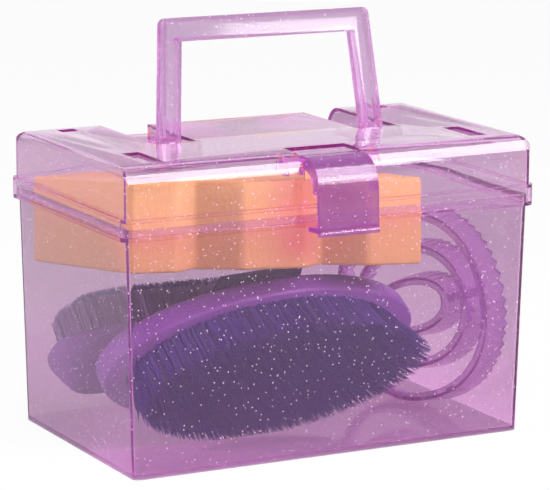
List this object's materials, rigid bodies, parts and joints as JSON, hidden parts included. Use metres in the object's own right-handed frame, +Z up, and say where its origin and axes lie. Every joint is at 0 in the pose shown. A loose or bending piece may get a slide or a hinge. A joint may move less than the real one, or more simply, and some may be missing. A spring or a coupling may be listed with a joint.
{
  "type": "horse grooming box",
  "caption": "Clear moulded carry box with a hinged lid, folding carry handle and front latch, holding a sponge, oval brushes and a ringed curry comb.",
  "frame": {"origin": "centre of the tub's underside, on the surface that the box stands on", "axes": "+X to the right seen from the latch side, +Y to the back, where the lid is hinged, +Z up"},
  "size_m": [0.25, 0.1737, 0.2319],
  "materials": {
    "clear_plastic": "clear purple with glitter, polished",
    "tinted_plastic": "clear purple with glitter, polished",
    "comb_plastic": "clear lilac, polished",
    "sponge": "open foam",
    "brush_stock": "gloss",
    "dark_bristle": "fibre",
    "pale_bristle": "fibre",
    "strap": "woven webbing",
    "rivet": "satin"
  },
  "bodies": {
    "tub": {"tub": "clear_plastic", "hinge_pins": "tinted_plastic", "sponge": "sponge", "body_brush_stock": "brush_stock", "body_brush_bristles": "dark_bristle", "body_brush_strap": "strap", "body_brush_rivets": "rivet", "dandy_brush_stock": "brush_stock", "dandy_brush_bristles": "dark_bristle", "dandy_brush_border": "pale_bristle", "curry_comb": "comb_plastic"},
    "lid": {"lid": "clear_plastic", "latch_pin": "tinted_plastic"},
    "handle": {"handle": "tinted_plastic"},
    "latch": {"latch": "tinted_plastic"}
  },
  "joints": [
    {"name": "lid_hinge", "type": "hinge", "parent": "tub", "child": "lid", "pos_m": [0, 0.0801, 0.13035], "axis": [-1, 0, 0], "range_deg": [0, 105]},
    {"name": "handle_fold", "type": "hinge", "parent": "lid", "child": "handle", "pos_m": [0, 0.0005, 0.162], "axis": [-1, 0, 0], "range_deg": [-8, 82]},
    {"name": "latch_pivot", "type": "hinge", "parent": "lid", "child": "latch", "pos_m": [0, -0.0648, 0.1608], "axis": [-1, 0, 0], "range_deg": [-3, 100]}
  ]
}
